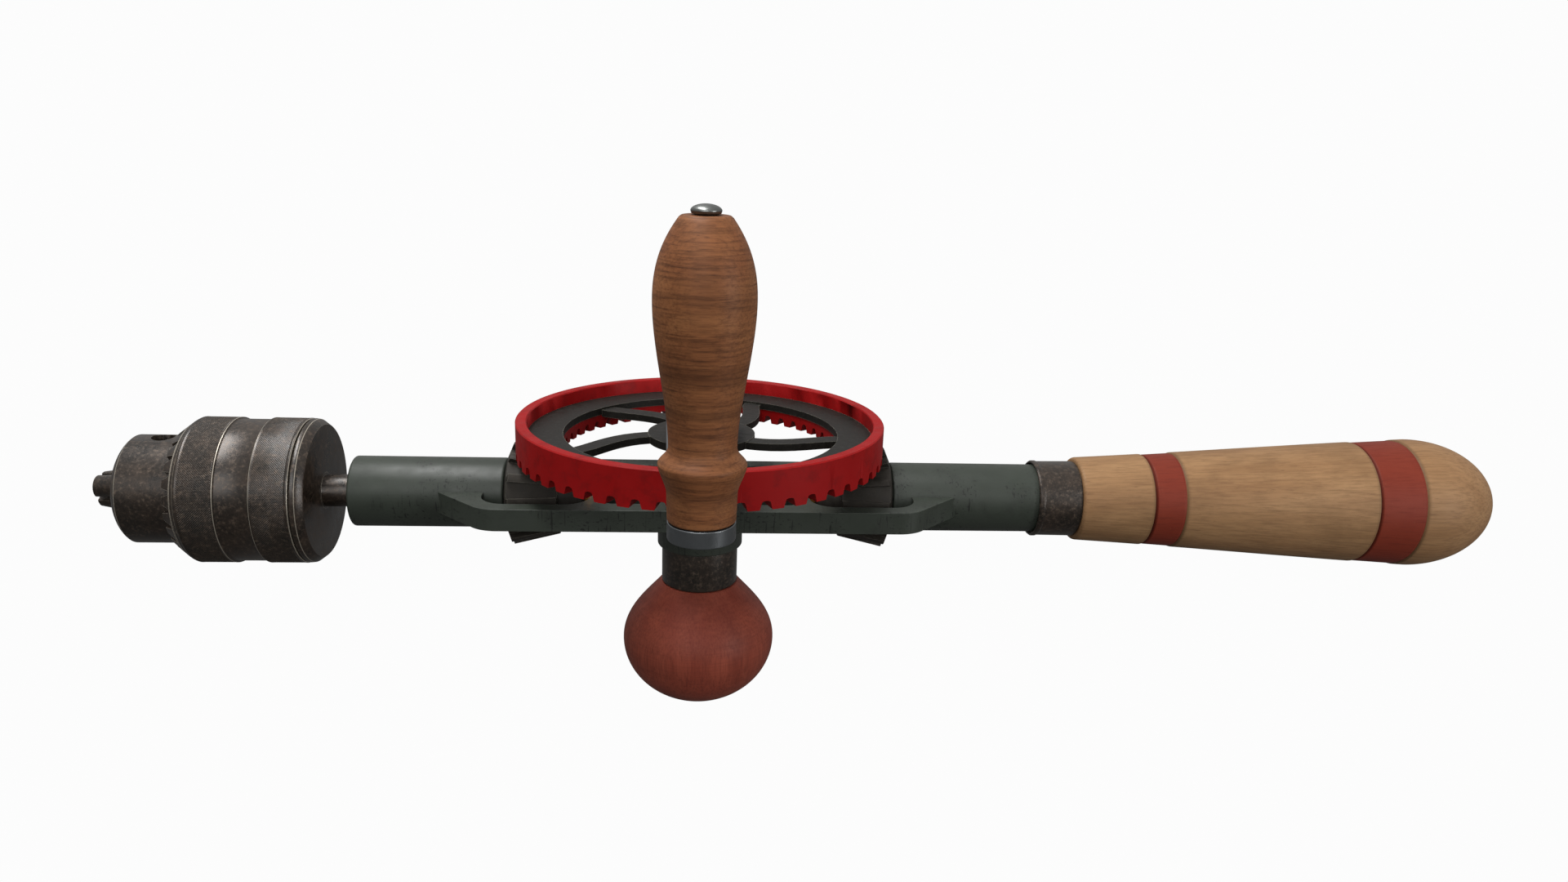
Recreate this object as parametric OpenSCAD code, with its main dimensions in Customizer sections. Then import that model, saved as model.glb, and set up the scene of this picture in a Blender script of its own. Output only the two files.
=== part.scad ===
// Hand drill with a side crank, a crown gear, two pinions and a three-jaw key chuck.
// Millimetres. +X runs along the drill axis from the chuck to the main handle, +Z is up.
// The origin lies on the drill axis, where the chuck's jaws grip.

/* [Layout] */
// Distance from the origin to the gear axis
gear_x = 157.5; // [155:0.5:160]
// Outer radius of the two frame tubes
tube_r = 9.6; // [9.2:0.1:9.8]
// Inner radius of the two frame tubes
tube_in = 7.6; // [7.2:0.1:7.8]

/* [Gears] */
// Outer radius of the crown gear
gear_r = 50; // [49.5:0.1:50.5]
// Number of teeth on the crown gear
gear_teeth = 50; // [50:1:50]
// Number of teeth on each pinion
pinion_teeth = 13; // [13:1:13]
// Height of the crown tooth tips above the drill axis
tip_z = 12.4; // [12.4:0.1:12.8]
// Height of the crown tooth roots above the drill axis
root_z = 14.7; // [14.6:0.1:15]

/* [Crank] */
// Distance from the gear axis to the crank pin
crank_r = 95; // [85:1:100]
// Half width of the crank arm at the gear axis
arm_hub_w = 9.85; // [9.5:0.05:10.5]
// Half width of the crank arm at the crank pin
arm_tip_w = 6.65; // [6:0.05:7]
// Thickness of the crank arm
arm_t = 3.5; // [3:0.1:4]

/* [Chuck] */
// Radius that the jaws grip at rest
grip_r = 1.5; // [1.4:0.05:1.6]
// Tilt of each jaw against the drill axis, in degrees
jaw_tilt = 12; // [12:0.5:12.5]
// Radius of each jaw
jaw_r = 3; // [2.9:0.05:3]
// Radius of the key pilot hole
key_hole_r = 3; // [2.8:0.1:3.1]
// Number of key teeth on the sleeve
key_teeth = 24; // [20:1:30]

/* [Handles] */
// Length of the main handle's wood
handle_len = 124.6; // [122:0.1:127]
// Largest radius of the main handle
handle_r = 18.45; // [18:0.05:19]
// Largest radius of the side knob
knob_r = 21.55; // [20:0.05:22]

/* [Hidden] */
$fn = 72;

eps = 0.01;
run_gap = 0.05;      // radial clearance of a running fit
face_gap = 0.3;      // clearance between faces that move past each other

// Frame, measured from the gear axis
slab_t = 6;          // thickness of the frame plate
rail_out = 22.8;     // half width of the frame plate
tip_x = 70.3;        // where the plate's tips meet the tubes
tip_half = 9;        // half width of a tip
shoulder_r = 9;      // radius of the plate's rounded shoulders
pinion_win = [29.6, 58, 18.2];   // near x, far x and half width of a pinion window
boss_win = [11.6, 26.5, 17.1];   // the same for a window beside the centre boss
tube_near = 53;      // inner ends of the tubes
front_far = 94;      // chuck end of the front tube
rear_far = 135;      // end of the rear tube, inside the main handle
bearing_r = 7;       // inner bearings, which stand on the cross ribs
bearing_near = 16;
boss_r = 11.9;
boss_top = 8;
boss_end = -14.3;    // lower end of the centre boss, above the side knob
journal_r = 4;       // radius of every shaft in its bearing
collar_r = 4.4;      // spindle between the chuck and the front tube
washer_r = 6.6;
plug_len = 15;       // length of the front bush and of the rear plug
stud_low = -42;      // lower end of the gear stud, inside the side knob
screw_r = 2.5;
screw_depth = 14;    // depth of the tapped hole in the stud's top

// Pinions, measured from the gear axis along the drill axis
pin_large_x = 51;    // large end of the tooth tips
pin_large_r = 14.25;
pin_small_x = 38.7;
pin_small_r = 11.3;
pin_back_x = 52.5;
pin_back_r = 10.7;
pin_root_gap = 2.1;  // tooth depth at the large end
pin_hub_r = 8.5;
pin_hub_x = 31.7;
drill_x = 35.1;      // cross hole through the drive pinion's hub and the spindle
drill_r = 1.25;
pinion_phase = 90;   // one tooth points up into a gap of the crown gear
pin_space = 4.6;     // width of the space between two pinion teeth, at the large end
pin_cone = atan((pin_large_r - pin_small_r) / (pin_large_x - pin_small_x));

// Wheel, heights above the drill axis
gap_w = 2.6;         // width of a crown tooth space at half depth, at the outer edge
flank = 16;          // slope of the crown tooth flanks, in degrees
crown_in = 37.75;
rim_in = 47;
rim_top = 22.4;
web_low = 16.5;
web_top = 18.5;
spoke_top = 17.9;
spoke_low = 15.9;
disc_r = 14.7;
disc_top = 18.1;
hub_r = 8;
hub_low = 8.3;
tenon_w = 12;
arm_low = 23.5;
arm_top = arm_low + arm_t;
spoke_count = 5;
spoke_w = 2.5;       // half width of a spoke
spoke_from = -27;    // angle where a spoke leaves the hub
spoke_to = -6.3;     // angle where it reaches the web

// Crank handle and side knob, heights above the drill axis
grip_low = arm_top + 0.2;
grip_top = 84.5;
pin_r = 1.75;
rivet_r = 2.85;
knob_ferrule_top = boss_end;
knob_top = -25.35;
knob_mid = -42.9;
knob_end = -61.25;
knob_ferrule_r = 10.64;
tenon_r = 9.6;

// Chuck, measured from the origin
nose_x = 4;
nose_r = 9.8;
nose_len = 3;        // length of the nose's rounded chamfer
body_r = 14.6;
sleeve_r = 19.75;
waist_r = 19.25;
sleeve_from = 19.6;
sleeve_front_r = 16.4;
sleeve_to = 52;
flange_from = 52.3;
chuck_end = 55.45;
nut_from = 24.5;
nut_to = 32.5;
nut_r = 15.6;
relief_r = 16.6;
bit_bore_r = 4.2;
thread_r = 4.95;
thread_from = 42.5;
jaw_tip = -3.2;
jaw_tip_r = 1.9;     // distance of a jaw's axis from the drill axis at its tip
jaw_len = 38.2;
jaw_apex = 0.85;     // where the faces between two jaws would meet
jaw_gap = 0.08;
key_x = 14.3;
key_floor = 8.3;
key_gap = 1.8;       // width of the gap between two key teeth

// Main handle, measured from the gear axis
ferrule_from = 94;
wood_from = 106.3;
ferrule_r = 10.68;
wood_r = 11.8;
dome_from = 206;
bands = [[126.3, 134.9], [189.1, 202]];
band_depth = 0.3;

function lerp(a, b, t) = a + (b - a) * t;

function bezier(a, b, c, d, n = 8) = [
    for (i = [0 : n]) let (t = i / n, s = 1 - t)
        s * s * s * a + 3 * s * s * t * b + 3 * s * t * t * c + t * t * t * d
];

// Quarter of an ellipse that ends on the axis, from [x, r] along x by len
function dome(x, r, len, n = 12) = [
    for (i = [0 : n]) [x + len * sin(90 * i / n), i == n ? 0 : r * cos(90 * i / n)]
];

// Rounds the corner b between a and c with radius r
function fillet(a, b, c, r, n = 8) =
    let (u = (a - b) / norm(a - b), v = (c - b) / norm(c - b),
         half = acos(u * v) / 2, m = (u + v) / norm(u + v),
         o = b + m * r / sin(half), from = b + u * r / tan(half),
         a0 = atan2(from[1] - o[1], from[0] - o[0]),
         turn = (u[0] * v[1] - u[1] * v[0]) > 0 ? -1 : 1,
         sweep = turn * (180 - 2 * half))
    [for (i = [0 : n]) o + r * [cos(a0 + sweep * i / n), sin(a0 + sweep * i / n)]];

function rounded(pts, r) = [
    for (i = [0 : len(pts) - 1])
        each fillet(pts[(i + len(pts) - 1) % len(pts)], pts[i], pts[(i + 1) % len(pts)], r)
];

// Turns an outline of [x, r] points about the X axis
module turned_x(pts) {
    rotate([0, 90, 0]) rotate([0, 0, 180]) rotate_extrude()
        polygon([for (p = pts) [p[1], p[0]]]);
}

// Turns an outline of [z, r] points about the Z axis
module turned_z(pts) {
    rotate_extrude() polygon([for (p = pts) [p[1], p[0]]]);
}

module rod_x(x0, x1, r) {
    translate([x0, 0, 0]) rotate([0, 90, 0]) cylinder(h = x1 - x0, r = r);
}

module rod_z(z0, z1, r) {
    translate([0, 0, z0]) cylinder(h = z1 - z0, r = r);
}

module at_gear() {
    translate([gear_x, 0, 0]) children();
}

module window(x0, x1, half, r) {
    linear_extrude(slab_t * 2, center = true)
        polygon(rounded([[x0, -half], [x1, -half], [x1, half], [x0, half]], r));
}

// ---------------------------------------------------------------- frame

module front_tube() {
    color("#4a524a") at_gear() difference() {
        turned_x([[-front_far, 0], [-front_far, tube_r - 0.8], [-front_far + 0.8, tube_r],
                  [-tube_near, tube_r], [-tube_near, 0]]);
        rod_x(-front_far - 1, -tube_near + 1, tube_in);
    }
}

module rear_tube() {
    color("#4a524a") at_gear() difference() {
        rod_x(tube_near, rear_far, tube_r);
        rod_x(tube_near - 1, rear_far + 1, tube_in);
    }
}

module frame_plate() {
    shoulder_x = tip_x - rail_out + tip_half;
    linear_extrude(slab_t, center = true) polygon([
        for (s = [1, -1]) let (tip = [s * tip_x, s * tip_half],
                               far_tip = [-s * tip_x, s * tip_half],
                               rail_mid = [0, s * rail_out])
            each concat(
                [[s * tip_x, -s * tip_half]], [tip],
                fillet(tip, [s * shoulder_x, s * rail_out], rail_mid, shoulder_r),
                fillet(rail_mid, [-s * shoulder_x, s * rail_out], far_tip, shoulder_r))
    ]);
}

module gear_frame() {
    color("#454b44") at_gear() difference() {
        union() {
            difference() {
                frame_plate();
                for (s = [0, 180]) rotate([0, 0, s]) {
                    window(pinion_win[0], pinion_win[1], pinion_win[2], 6.5);
                    window(boss_win[0], boss_win[1], boss_win[2], 3.5);
                }
            }
            for (s = [0, 180]) rotate([0, 0, s])
                rod_x(bearing_near, pinion_win[0], bearing_r);
            turned_z([[boss_top, 0], [boss_top, 8.6], [boss_top - 1, 9.2], [slab_t / 2, 9.2],
                      [slab_t / 2, boss_r], [boss_end + 0.4, boss_r],
                      [boss_end, boss_r - 0.4], [boss_end, 0]]);
        }
        for (s = [0, 180]) rotate([0, 0, s]) {
            rod_x(tube_near, front_far, tube_r);
            rod_x(bearing_near - 1, pinion_win[0] + 1, journal_r + run_gap);
        }
        rod_z(boss_end - 1, boss_top + 1, journal_r);
    }
}

module front_bush() {
    color("#a9793a") at_gear() difference() {
        rod_x(-front_far + 0.4, -front_far + plug_len, tube_in);
        rod_x(-front_far - 1, -front_far + plug_len + 1, journal_r + run_gap);
    }
}

module rear_plug() {
    color("#6a6a66") at_gear() difference() {
        rod_x(tube_near, tube_near + plug_len, tube_in);
        rod_x(tube_near - 1, tube_near + plug_len + 1, journal_r);
    }
}

// ---------------------------------------------------------------- spindle and pinions

module spindle() {
    color("#57504a") at_gear() difference() {
        turned_x([
            [-gear_x + thread_from, 0], [-gear_x + thread_from, thread_r - 0.6],
            [-gear_x + thread_from + 0.6, thread_r], [-gear_x + chuck_end, thread_r],
            [-gear_x + chuck_end, collar_r], [-front_far - 0.1, collar_r],
            [-front_far - 0.1, journal_r], [-bearing_near - 1, journal_r],
            [-bearing_near - 0.5, journal_r - 0.5], [-bearing_near - 0.5, 0]]);
        pin_drilling();
    }
}

// Pinion with its hub towards the gear axis; its axis lies along X and its apex near the origin
module pinion_blank(bore) {
    difference() {
        turned_x([[pin_hub_x, 0], [pin_hub_x, pin_hub_r - 0.5], [pin_hub_x + 0.5, pin_hub_r],
                  [pin_small_x, pin_hub_r], [pin_small_x, pin_small_r],
                  [pin_large_x, pin_large_r], [pin_back_x, pin_back_r], [pin_back_x, 0]]);
        rod_x(pin_hub_x - 1, pin_back_x + 1, bore);
        for (i = [0 : pinion_teeth - 1])
            rotate([360 * (i + 0.5) / pinion_teeth + pinion_phase, 0, 0]) tooth_space();
    }
}

// Space between two pinion teeth: narrower towards the apex, its floor along the root cone
module tooth_space() {
    far = 16;
    near = 14;
    narrow = pin_space * (pin_large_x - near) / pin_large_x;
    wide = pin_space * (pin_large_x + far) / pin_large_x;
    translate([pin_large_x, pin_large_r - pin_root_gap, 0]) rotate([0, 0, pin_cone])
        rotate([-90, 0, 0]) linear_extrude(10) polygon([
            [-near, -narrow / 2], [far, -wide / 2], [far, wide / 2], [-near, narrow / 2]]);
}

module pin_drilling() {
    translate([-drill_x, 0, 0]) rod_z(-pin_hub_r - 1, pin_hub_r + 1, drill_r);
}

module drive_pinion() {
    color("#33332f") at_gear() difference() {
        mirror([1, 0, 0]) pinion_blank(journal_r);
        pin_drilling();
    }
}

module drive_pin() {
    color("#8c8c88") at_gear() translate([-drill_x, 0, 0])
        rod_z(-pin_hub_r + 0.1, pin_hub_r - 0.1, drill_r);
}

module thrust_washer(x0, x1) {
    difference() {
        rod_x(x0, x1, washer_r);
        rod_x(x0 - 1, x1 + 1, journal_r + face_gap);
    }
}

module drive_washer() {
    color("#a9793a") at_gear() thrust_washer(-pin_hub_x + 0.1, -pinion_win[0]);
}

module idler_stud() {
    color("#8c8c88") at_gear() rod_x(bearing_near + 1, tube_near + plug_len - 1, journal_r);
}

module idler_pinion() {
    color("#33332f") at_gear() pinion_blank(journal_r + run_gap);
}

module idler_washer() {
    color("#a9793a") at_gear() thrust_washer(pinion_win[0], pin_hub_x - 0.1);
}

// ---------------------------------------------------------------- wheel and crank

module gear_stud() {
    color("#8c8c88") at_gear() difference() {
        rod_z(stud_low, arm_top + 0.2, journal_r);
        rod_z(arm_top - screw_depth, arm_top + 1, screw_r);
    }
}

// Space between two crown teeth along +X, narrower towards the gear axis
module crown_space() {
    mid = (tip_z + root_z) / 2;
    low_w = gap_w / 2 + (mid - tip_z + 1) * tan(flank);
    top_w = gap_w / 2 - (root_z - 0.5 - mid) * tan(flank);
    profile = concat([[low_w, tip_z - 1], [top_w, root_z - 0.5]],
                     [for (a = [30 : 30 : 150]) [top_w * cos(a), root_z - 0.5 + 0.5 * sin(a)]],
                     [[-top_w, root_z - 0.5], [-low_w, tip_z - 1]]);
    taper = atan(gap_w / 2 / gear_r);
    intersection_for (s = [-1, 1])
        translate([gear_r, 0, 0]) rotate([0, 0, s * taper]) translate([-16, 0, 0])
            rotate([90, 0, 90]) linear_extrude(20) polygon(profile);
}

module crown_gear() {
    color("#8e1418") at_gear() difference() {
        turned_z([[tip_z, crown_in], [tip_z, gear_r], [rim_top - 0.3, gear_r],
                  [rim_top, gear_r - 0.3], [rim_top, rim_in + 0.3], [rim_top - 0.3, rim_in],
                  [web_low, rim_in], [web_low, crown_in]]);
        for (i = [0 : gear_teeth - 1]) rotate([0, 0, 360 * i / gear_teeth]) crown_space();
    }
}

function ease(t) = t * t * (3 - 2 * t);

// Point on a spoke: t runs from the hub to the web, side is -1 to 1
function spoke_point(t, side) =
    let (r = lerp(12.5, 38.6, t), a = lerp(spoke_from, spoke_to, ease(t)),
         slope = atan2(r * (spoke_to - spoke_from) * PI / 180 * 6 * t * (1 - t), 26.1),
         across = a + slope + 90)
    r * [cos(a), sin(a)] + side * spoke_w * [cos(across), sin(across)];

module wheel_spider() {
    color("#37332f") at_gear() difference() {
        union() {
            difference() {
                rod_z(web_low, web_top, rim_in);
                rod_z(web_low - 1, web_top + 1, crown_in - 0.25);
            }
            translate([0, 0, spoke_low]) linear_extrude(spoke_top - spoke_low)
                for (k = [0 : spoke_count - 1]) rotate(360 * k / spoke_count) polygon(concat(
                    [for (i = [0 : 10]) spoke_point(i / 10, -1)],
                    [for (i = [10 : -1 : 0]) spoke_point(i / 10, 1)]));
            rod_z(spoke_low, disc_top, disc_r);
        }
        rod_z(spoke_low - 1, disc_top + 1, hub_r);
        // The toothed ring fills everything outside this radius below the web
        difference() {
            rod_z(spoke_low - 1, web_low, gear_r);
            rod_z(spoke_low - 2, web_low + 1, crown_in - 0.1);
        }
    }
}

module wheel_hub() {
    color("#57504a") at_gear() difference() {
        union() {
            rod_z(hub_low, arm_low, hub_r);
            translate([-tenon_w / 2, -tenon_w / 2, arm_low - eps])
                cube([tenon_w, tenon_w, arm_t + eps]);
        }
        rod_z(hub_low - 1, arm_top + 1, journal_r + run_gap);
    }
}

module crank_arm() {
    lean = asin((arm_hub_w - arm_tip_w) / crank_r);
    function edge(w, y, s) = [s * w * cos(lean), y - w * sin(lean)];
    color("#4c5052") at_gear() translate([0, 0, arm_low]) difference() {
        linear_extrude(arm_t) difference() {
            union() {
                circle(r = arm_hub_w);
                translate([0, -crank_r]) circle(r = arm_tip_w);
                polygon([edge(arm_hub_w, 0, 1), edge(arm_hub_w, 0, -1),
                         edge(arm_tip_w, -crank_r, -1), edge(arm_tip_w, -crank_r, 1)]);
            }
            square(tenon_w, center = true);
        }
        translate([0, -crank_r, -1]) cylinder(h = arm_t + 2, r = pin_r);
    }
}

module stud_washer() {
    color("#8c8c88") at_gear() difference() {
        rod_z(arm_top + 0.2, arm_top + 1.5, 8.8);
        rod_z(arm_top, arm_top + 2, screw_r);
    }
}

module stud_screw() {
    head_low = arm_top + 1.5;
    color("#8c8c88") at_gear() difference() {
        union() {
            rod_z(arm_top - screw_depth + 1, head_low + 1, screw_r);
            turned_z(concat([[head_low, 0], [head_low, 6]],
                            [for (a = [0 : 10 : 90]) [head_low + 1 + 2.2 * sin(a), 6 * cos(a)]]));
        }
        translate([-7, -0.6, head_low + 1.8]) cube([14, 1.2, 4]);
    }
}

module crank_pin() {
    color("#9c9fa3") at_gear() translate([0, -crank_r, 0]) {
        rod_z(arm_low, grip_top + 0.2, pin_r);
        turned_z([[arm_low - 1.2, 0], [arm_low - 1.2, 2.2], [arm_low - 0.7, 2.8],
                  [arm_low, 2.8], [arm_low, 0]]);
        turned_z(concat([[grip_top + 0.2, 0], [grip_top + 0.2, rivet_r]],
                        [for (a = [0 : 10 : 90])
                            [grip_top + 0.7 + 1.3 * sin(a), a == 90 ? 0 : rivet_r * cos(a)]]));
    }
}

module crank_handle() {
    color("#7a4a2c") at_gear() translate([0, -crank_r, 0]) difference() {
        turned_z(concat(
            [[grip_low, 0], [grip_low, 6.4], [grip_low + 0.3, 6.65]],
            bezier([33, 6.8], [34.6, 7], [37.1, 8.48], [38.4, 8.48], 6),
            bezier([38.4, 8.48], [39.3, 8.48], [40, 6.7], [41.6, 6.5], 6),
            bezier([41.6, 6.5], [50, 6.5], [60, 9.56], [69.3, 9.56], 10),
            bezier([69.3, 9.56], [75, 9.56], [79.5, 8.2], [grip_top - 0.4, 4.9], 8),
            [[grip_top, 4.4], [grip_top, 0]]));
        rod_z(grip_low - 1, grip_top + 1, pin_r + run_gap);
    }
}

// ---------------------------------------------------------------- side knob and main handle

module knob_ferrule() {
    color("#3a342f") at_gear() difference() {
        turned_z([[knob_ferrule_top, 0], [knob_ferrule_top, knob_ferrule_r - 0.5],
                  [knob_ferrule_top - 0.5, knob_ferrule_r], [knob_top, knob_ferrule_r],
                  [knob_top, 0]]);
        rod_z(knob_top - 1, knob_ferrule_top - 1.2, tenon_r);
        rod_z(knob_top - 1, knob_ferrule_top + 1, journal_r);
    }
}

module side_knob() {
    color("#7e3324") at_gear() difference() {
        turned_z(concat(
            [[knob_ferrule_top - 1.2, 0], [knob_ferrule_top - 1.2, tenon_r], [knob_top, tenon_r],
             [knob_top, 10.9]],
            bezier([knob_top - 0.45, 11.3], [-31.5, 16.3], [-36, knob_r], [knob_mid, knob_r]),
            [for (p = dome(0, knob_r, knob_mid - knob_end)) if (p[0] > 0)
                [knob_mid - p[0], p[1]]]));
        rod_z(stud_low, 0, journal_r);
    }
}

module handle_ferrule() {
    color("#3a342f") at_gear() difference() {
        turned_x([[ferrule_from, 0], [ferrule_from, ferrule_r - 0.3],
                  [ferrule_from + 0.4, ferrule_r + 0.1], [ferrule_from + 1.2, ferrule_r + 0.1],
                  [ferrule_from + 1.6, ferrule_r - 0.1], [wood_from, ferrule_r], [wood_from, 0]]);
        rod_x(ferrule_from - 1, wood_from + 1, tube_r);
        rod_x(ferrule_from - 1, ferrule_from + 1.2, tube_r + 0.5);
    }
}

function band_drop(x) =
    len([for (b = bands) if (x > b[0] && x < b[1]) 1]) > 0 ? band_depth : 0;

// Radius of the main handle's long taper
function taper_r(x) =
    let (t = (x - wood_from) / (dome_from - wood_from))
    lerp(wood_r, handle_r, 0.86 * t + 0.42 * t * t - 0.28 * t * t * t);

module main_handle() {
    edges = [for (b = bands, x = [b[0] - eps, b[0] + eps, b[1] - eps, b[1] + eps]) x];
    before = [for (x = [wood_from + 1 : 9 : bands[0][0]]) x];
    between = [for (x = [bands[0][1] + 7 : 9 : bands[1][0] - 2]) x];
    stations = concat(before, [for (i = [0 : 3]) edges[i]], between,
                      [for (i = [4 : 7]) edges[i]]);
    color("#b08257") at_gear() difference() {
        turned_x(concat(
            [[wood_from, 0], [wood_from, wood_r - 0.7]],
            [for (x = stations) [x, taper_r(x) - band_drop(x)]],
            dome(dome_from, handle_r, wood_from + handle_len - dome_from)));
        rod_x(wood_from - 1, rear_far + 0.5, tube_r);
    }
}

// ---------------------------------------------------------------- chuck

function jaw_axis_r(x) = jaw_tip_r + (x - jaw_tip) * tan(jaw_tilt);
function jaw_outer_r(x) = jaw_axis_r(x) + jaw_r / cos(jaw_tilt);

// Places children in the plane of one jaw: X stays the drill axis, Z points outward
module in_jaw_plane(k) {
    rotate([60 - 120 * k, 0, 0]) children();
}

// Tilted cylinder that a jaw or its bore is made of
module jaw_rod(r, back, ahead) {
    translate([jaw_tip, 0, jaw_tip_r]) rotate([0, 90 - jaw_tilt, 0])
        translate([0, 0, -ahead]) cylinder(h = back + ahead, r = r);
}

module chuck_body() {
    color("#3f3832") difference() {
        turned_x(concat(
            [[nose_x, 0]],
            bezier([nose_x, nose_r], [nose_x + 0.6, 11.8], [nose_x + 1.6, 13.6],
                   [nose_x + nose_len, body_r]),
            [[nut_from - face_gap, body_r],
             [nut_from - face_gap, jaw_outer_r(nut_from - face_gap) - 0.25],
             [nut_to + face_gap, jaw_outer_r(nut_to + face_gap) - 0.25],
             [nut_to + face_gap, body_r], [flange_from, body_r],
             [flange_from, sleeve_r - 0.35], [flange_from + 0.3, sleeve_r - 0.1],
             [flange_from + 1.2, sleeve_r - 0.2], [chuck_end - 0.3, sleeve_r - 1.45],
             [chuck_end, sleeve_r - 1.75], [chuck_end, 0]]));
        rod_x(nose_x - 1, 40, bit_bore_r);
        rod_x(thread_from, chuck_end + 1, thread_r);
        for (k = [0 : 2]) in_jaw_plane(k) jaw_rod(jaw_r + jaw_gap, 53, 4);
        translate([key_x, 0, key_floor]) cylinder(h = 10, r = key_hole_r);
    }
}

module key_tooth_gap() {
    translate([sleeve_from, 0, sleeve_front_r]) rotate([0, -37, 0])
        translate([-2, -key_gap / 2, -0.6]) cube([5.2, key_gap, 4]);
}

module chuck_sleeve() {
    color("#3f3832") difference() {
        turned_x(concat(
            [[sleeve_from, body_r + run_gap], [sleeve_from, sleeve_front_r], [23.5, 19.4],
             [24.3, sleeve_r], [33.4, sleeve_r], [34.2, waist_r + 0.1], [38, waist_r], [41.5, waist_r + 0.1],
             [42.3, sleeve_r], [sleeve_to - 0.3, sleeve_r], [sleeve_to, sleeve_r - 0.3],
             [sleeve_to, relief_r], [nut_to + face_gap, relief_r],
             [nut_to + face_gap, nut_r], [nut_from - face_gap, nut_r],
             [nut_from - face_gap, body_r + run_gap]]));
        for (i = [0 : key_teeth - 1]) rotate([360 * i / key_teeth, 0, 0]) key_tooth_gap();
    }
}

module split_nut() {
    color("#6a6a66") difference() {
        turned_x([[nut_from, jaw_outer_r(nut_from) + 0.12], [nut_from, nut_r],
                  [nut_to, nut_r], [nut_to, jaw_outer_r(nut_to) + 0.12]]);
        translate([nut_from - 1, -0.15, -20]) cube([nut_to - nut_from + 2, 0.3, 40]);
    }
}

module jaw(k) {
    color("#4a443e") in_jaw_plane(k) difference() {
        intersection() {
            jaw_rod(jaw_r, jaw_len, 2);
            translate([jaw_tip, 0, 0]) rotate([90, 0, 90]) linear_extrude(jaw_len)
                polygon([[0, jaw_apex], [30, jaw_apex + 30 * tan(30)],
                         [30, 60], [-30, 60], [-30, jaw_apex + 30 * tan(30)]]);
        }
        rod_x(jaw_tip - 1, jaw_len, grip_r);
    }
}

module jaw_1() { jaw(0); }
module jaw_2() { jaw(1); }
module jaw_3() { jaw(2); }

front_tube();
rear_tube();
gear_frame();
front_bush();
rear_plug();
spindle();
drive_pinion();
drive_pin();
drive_washer();
idler_stud();
idler_pinion();
idler_washer();
gear_stud();
crown_gear();
wheel_spider();
wheel_hub();
crank_arm();
stud_washer();
stud_screw();
crank_pin();
crank_handle();
knob_ferrule();
side_knob();
handle_ferrule();
main_handle();
chuck_body();
chuck_sleeve();
split_nut();
jaw_1();
jaw_2();
jaw_3();
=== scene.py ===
"""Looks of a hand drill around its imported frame. Shapes are given in millimetres."""

import math

import bmesh
import bpy
from mathutils import Matrix, Vector


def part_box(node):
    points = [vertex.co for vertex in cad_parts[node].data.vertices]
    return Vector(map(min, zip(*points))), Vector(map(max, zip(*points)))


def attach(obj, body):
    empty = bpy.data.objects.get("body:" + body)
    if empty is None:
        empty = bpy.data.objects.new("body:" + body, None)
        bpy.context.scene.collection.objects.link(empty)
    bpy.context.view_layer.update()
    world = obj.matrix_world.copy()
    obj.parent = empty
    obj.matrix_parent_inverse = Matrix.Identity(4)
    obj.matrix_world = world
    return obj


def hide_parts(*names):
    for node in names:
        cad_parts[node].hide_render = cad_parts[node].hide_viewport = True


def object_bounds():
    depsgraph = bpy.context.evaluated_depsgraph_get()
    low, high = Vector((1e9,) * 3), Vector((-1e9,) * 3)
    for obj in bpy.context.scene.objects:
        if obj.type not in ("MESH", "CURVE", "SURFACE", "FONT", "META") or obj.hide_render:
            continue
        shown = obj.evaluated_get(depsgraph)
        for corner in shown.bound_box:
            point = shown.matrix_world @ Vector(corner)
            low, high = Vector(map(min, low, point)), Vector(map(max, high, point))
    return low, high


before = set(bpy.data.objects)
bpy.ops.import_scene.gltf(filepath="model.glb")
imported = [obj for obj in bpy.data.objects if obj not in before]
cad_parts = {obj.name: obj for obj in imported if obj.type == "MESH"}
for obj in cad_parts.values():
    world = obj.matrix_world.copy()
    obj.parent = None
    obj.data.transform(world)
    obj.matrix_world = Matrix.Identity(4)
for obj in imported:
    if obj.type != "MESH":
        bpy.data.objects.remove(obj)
cad_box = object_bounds()

MM = 0.001
GEAR_X = (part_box("gear_stud")[0].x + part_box("gear_stud")[1].x) / 2 / MM
CRANK_Y = (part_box("crank_handle")[0].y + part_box("crank_handle")[1].y) / 2 / MM
# Where the handle's two painted bands start and end, from the gear axis.
BANDS = ((126.3, 134.9), (189.1, 202.0))


# ---------------------------------------------------------------- camera, light and floor

LENS = 25.37
CAMERA_AT = (156.725, -294.645, 100.17)
YAW, PITCH, ROLL = (math.radians(a) for a in (-4.593, -15.916, 2.097))


def make_camera():
    data = bpy.data.cameras.new("camera")
    data.lens = LENS
    data.sensor_width = 36
    data.clip_start = 0.01
    camera = bpy.data.objects.new("camera", data)
    level = Matrix.Rotation(YAW, 4, "Z") @ Matrix.Rotation(math.pi / 2 + PITCH, 4, "X")
    camera.matrix_world = (
        Matrix.Translation(Vector(CAMERA_AT) * MM) @ level @ Matrix.Rotation(ROLL, 4, "Z")
    )
    bpy.context.scene.collection.objects.link(camera)
    bpy.context.scene.camera = camera


def area_light(name, place, aim, size, power):
    data = bpy.data.lights.new(name, "AREA")
    data.shape = "RECTANGLE"
    data.size, data.size_y = size
    data.energy = power
    light = bpy.data.objects.new(name, data)
    light.location = place
    light.rotation_euler = (Vector(aim) - Vector(place)).to_track_quat("-Z", "Y").to_euler()
    bpy.context.scene.collection.objects.link(light)


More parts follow.
